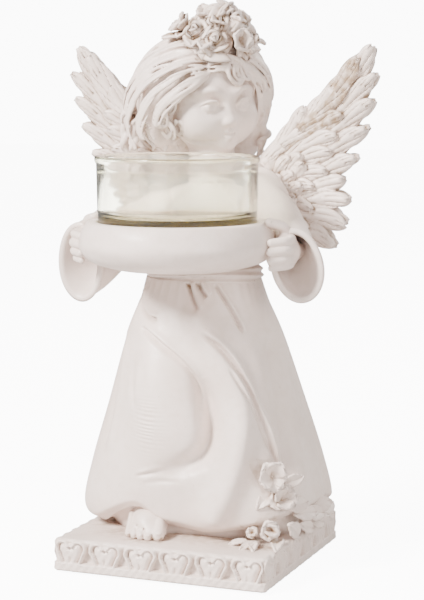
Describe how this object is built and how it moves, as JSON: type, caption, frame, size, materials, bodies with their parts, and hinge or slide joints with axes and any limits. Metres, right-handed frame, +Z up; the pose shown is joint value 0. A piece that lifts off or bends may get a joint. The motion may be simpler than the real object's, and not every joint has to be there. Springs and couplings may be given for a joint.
{
  "type": "angel figurine tealight holder",
  "caption": "Cast-resin child angel in a long robe on a square carved plinth, wings raised, holding out a shallow round dish that carries a clear glass tealight cup.",
  "frame": {"origin": "centre of the felt's underside, on the surface the figurine stands on", "axes": "+Z up along the figure, -Y the way the figure faces and holds the dish, +X the figure's own left"},
  "size_m": [0.107, 0.089, 0.178],
  "materials": {
    "resin": "matte ivory polyresin with a thin brown antique wash in the crevices",
    "glass": "clear soda glass with a faint olive edge tint",
    "felt": "short pile felt",
    "pin_steel": "plain drawn steel"
  },
  "bodies": {
    "figure": {"felt_base": "felt", "plinth": "resin", "robe_skirt": "resin", "waist_sash": "resin", "robe_bodice": "resin", "right_foot": "resin", "head": "resin", "hair": "resin", "crown_roses": "resin", "crown_leaves": "resin", "dish": "resin", "wing_pins": "pin_steel", "hem_blossoms": "resin", "hem_leaves": "resin", "left_sleeve": "resin", "right_sleeve": "resin", "left_hand": "resin", "right_hand": "resin", "left_wing": "resin", "right_wing": "resin"},
    "cup": {"glass_cup": "glass"}
  },
  "joints": [
    {"name": "cup_lift", "type": "slide", "parent": "figure", "child": "cup", "axis": [0, 0, 1], "range_m": [0, 0.003]}
  ]
}
